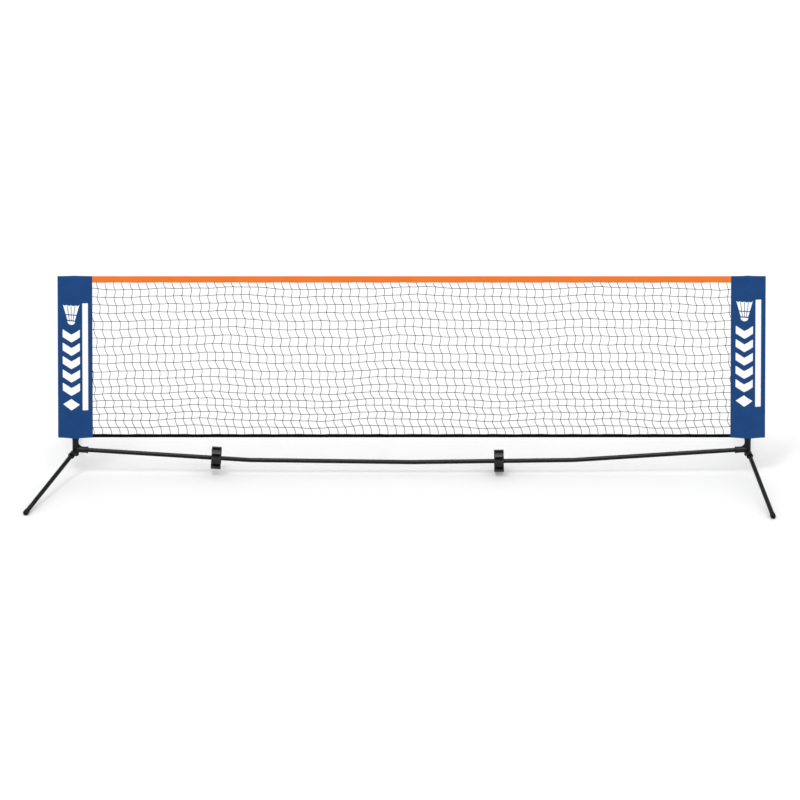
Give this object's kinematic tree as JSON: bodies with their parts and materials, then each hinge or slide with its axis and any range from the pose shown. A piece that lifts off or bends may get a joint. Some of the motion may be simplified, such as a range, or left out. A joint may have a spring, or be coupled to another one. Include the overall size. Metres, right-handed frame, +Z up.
{
  "type": "portable badminton net",
  "caption": "Free-standing badminton net: fabric panel with orange top tape between two posts on a low bowed rail, with swivelling legs, rubber feet and storage clips.",
  "frame": {"origin": "on the floor, at the middle of the footprint", "axes": "+X to the right along the net, seen from the front; -Y towards the front; +Z up"},
  "size_m": [3.2395, 0.9797, 0.9305],
  "materials": {
    "steel_tube": "satin",
    "plastic": "satin",
    "plated_steel": "satin",
    "rubber": "matte",
    "elastic": "matte",
    "sleeve_fabric": "matte",
    "sleeve_print": "matte",
    "top_tape": "matte",
    "bottom_tape": "matte",
    "net_twine": "matte"
  },
  "bodies": {
    "base": {"left_corner_connector": "plastic", "right_corner_connector": "plastic", "left_pivot_washer": "plated_steel", "right_pivot_washer": "plated_steel", "left_pivot_screw": "plated_steel", "right_pivot_screw": "plated_steel", "rail_section_1": "steel_tube", "rail_section_2": "steel_tube", "rail_section_3": "steel_tube", "rail_section_4": "steel_tube", "rail_ferrule_1": "plated_steel", "rail_ferrule_2": "plated_steel", "rail_ferrule_3": "plated_steel", "left_cord_plug": "plastic", "right_cord_plug": "plastic", "rail_shock_cord": "elastic"},
    "left_post": {"left_post_lower": "steel_tube", "left_post_upper": "steel_tube", "left_post_ferrule": "plated_steel", "left_post_cap": "plastic"},
    "right_post": {"right_post_lower": "steel_tube", "right_post_upper": "steel_tube", "right_post_ferrule": "plated_steel", "right_post_cap": "plastic"},
    "net": {"left_side_sleeve": "sleeve_fabric", "right_side_sleeve": "sleeve_fabric", "top_tape": "top_tape", "bottom_tape": "bottom_tape", "net_mesh": "net_twine"},
    "left_front_bracket": {"left_front_leg_bracket": "plastic"},
    "left_front_leg": {"left_front_leg": "steel_tube", "left_front_foot": "rubber"},
    "left_rear_bracket": {"left_rear_leg_bracket": "plastic"},
    "left_rear_leg": {"left_rear_leg": "steel_tube", "left_rear_foot": "rubber"},
    "left_clip": {"left_storage_clip": "plastic"},
    "right_front_bracket": {"right_front_leg_bracket": "plastic"},
    "right_front_leg": {"right_front_leg": "steel_tube", "right_front_foot": "rubber"},
    "right_rear_bracket": {"right_rear_leg_bracket": "plastic"},
    "right_rear_leg": {"right_rear_leg": "steel_tube", "right_rear_foot": "rubber"},
    "right_clip": {"right_storage_clip": "plastic"}
  },
  "joints": [
    {"name": "left_post_lift", "type": "slide", "parent": "base", "child": "left_post", "axis": [0, 0, 1], "range_m": [0, 0.038]},
    {"name": "right_post_lift", "type": "slide", "parent": "base", "child": "right_post", "axis": [0, 0, 1], "range_m": [0, 0.038]},
    {"name": "net_lift", "type": "slide", "parent": "left_post", "child": "net", "axis": [0, 0, 1], "range_m": [0, 0.72]},
    {"name": "left_front_leg_swivel", "type": "hinge", "parent": "base", "child": "left_front_bracket", "pos_m": [-1.39746, -0.00583, 0.115], "axis": [0, 0, 1], "range_deg": [-34.2, 25.8]},
    {"name": "left_rear_leg_swivel", "type": "hinge", "parent": "base", "child": "left_rear_bracket", "pos_m": [-1.39746, -0.00583, 0.115], "axis": [0, 0, 1], "range_deg": [0, 60]},
    {"name": "right_front_leg_swivel", "type": "hinge", "parent": "base", "child": "right_front_bracket", "pos_m": [1.50254, -0.00583, 0.115], "axis": [0, 0, 1], "range_deg": [-12.6, 47.4]},
    {"name": "right_rear_leg_swivel", "type": "hinge", "parent": "base", "child": "right_rear_bracket", "pos_m": [1.50254, -0.00583, 0.115], "axis": [0, 0, 1], "range_deg": [-60, 0]},
    {"name": "left_front_leg_pull", "type": "slide", "parent": "left_front_bracket", "child": "left_front_leg", "axis": [-0.4266, -0.8824, -0.1986], "range_m": [0, 0.024]},
    {"name": "left_rear_leg_pull", "type": "slide", "parent": "left_rear_bracket", "child": "left_rear_leg", "axis": [0, 0.9801, -0.1986], "range_m": [0, 0.024]},
    {"name": "right_front_leg_pull", "type": "slide", "parent": "right_front_bracket", "child": "right_front_leg", "axis": [0.2138, -0.9565, -0.1986], "range_m": [0, 0.024]},
    {"name": "right_rear_leg_pull", "type": "slide", "parent": "right_rear_bracket", "child": "right_rear_leg", "axis": [0, 0.9801, -0.1986], "range_m": [0, 0.024]},
    {"name": "left_clip_slide", "type": "slide", "parent": "base", "child": "left_clip", "axis": [-0.9977, 0, 0.0685], "range_m": [-0.09, 0.4]},
    {"name": "right_clip_slide", "type": "slide", "parent": "base", "child": "right_clip", "axis": [0.9999, 0, 0.0143], "range_m": [-0.33, 0.28]}
  ],
  "couplings": [
    {"joint": "right_post_lift", "follows": "left_post_lift", "ratio": 1}
  ]
}
